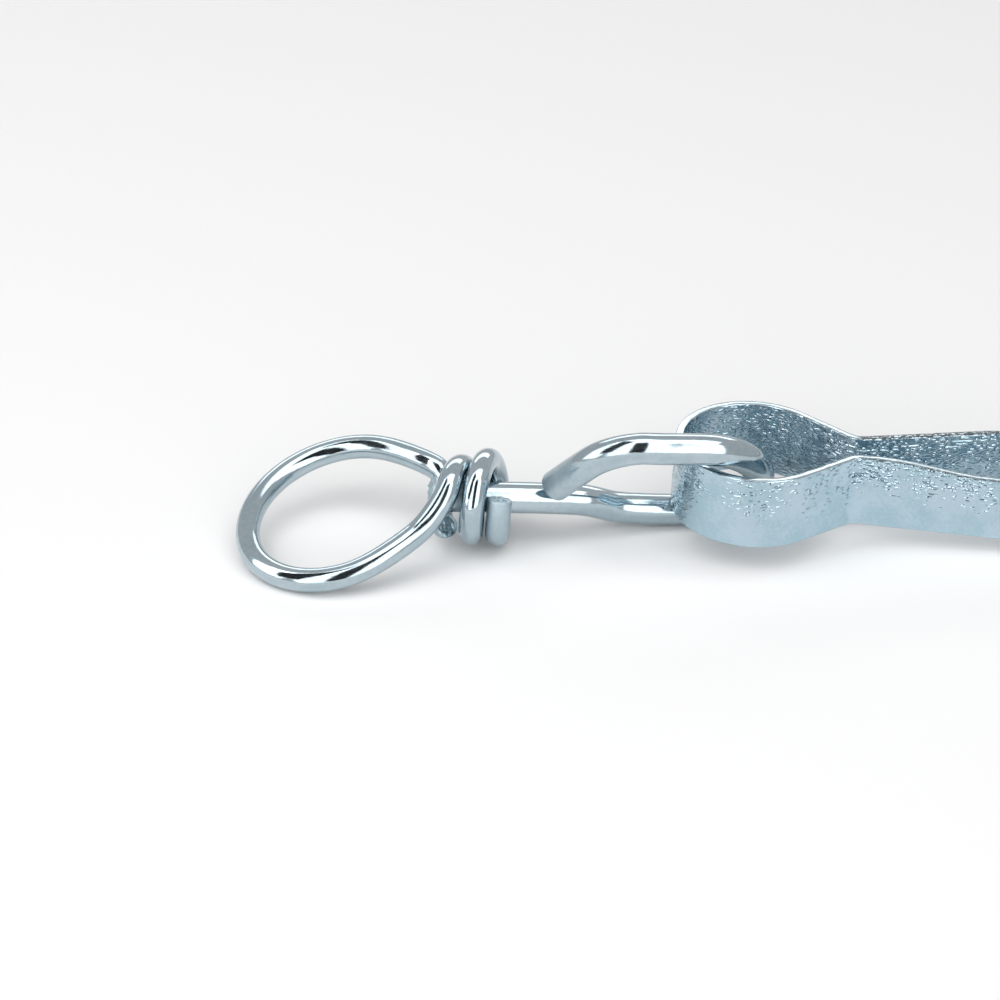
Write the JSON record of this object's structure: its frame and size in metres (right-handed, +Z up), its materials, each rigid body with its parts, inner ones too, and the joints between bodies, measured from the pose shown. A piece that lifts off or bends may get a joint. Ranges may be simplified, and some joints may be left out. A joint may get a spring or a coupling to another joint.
{
  "type": "swivel ring on a folded strap",
  "caption": "Plated wire ring wound on a headed swivel pin whose eye hangs in a folded strap with bored ears.",
  "frame": {"origin": "middle of the bore through the strap's two ears", "axes": "+Y along the bore, towards the back arm; +Z up; the ring points to -X"},
  "size_m": [0.1148, 0.0264, 0.0184],
  "materials": {
    "plated_wire": "bright plated steel wire",
    "plated_strip": "satin plated steel strip"
  },
  "bodies": {
    "strap": {"strap": "plated_strip"},
    "eye_pin": {"eye_pin": "plated_wire"},
    "swivel_ring": {"swivel_ring": "plated_wire"}
  },
  "joints": [
    {"name": "eye_swing", "type": "hinge", "parent": "strap", "child": "eye_pin", "pos_m": [-0.04688, -0.00121, 0.00335], "axis": [0.0584, 0, 0.9983], "range_deg": [-140, 140]},
    {"name": "ring_swivel", "type": "hinge", "parent": "eye_pin", "child": "swivel_ring", "pos_m": [-0.08013, -0.00441, 0.00162], "axis": [0.9828, 0.1521, -0.1045], "continuous": true}
  ]
}
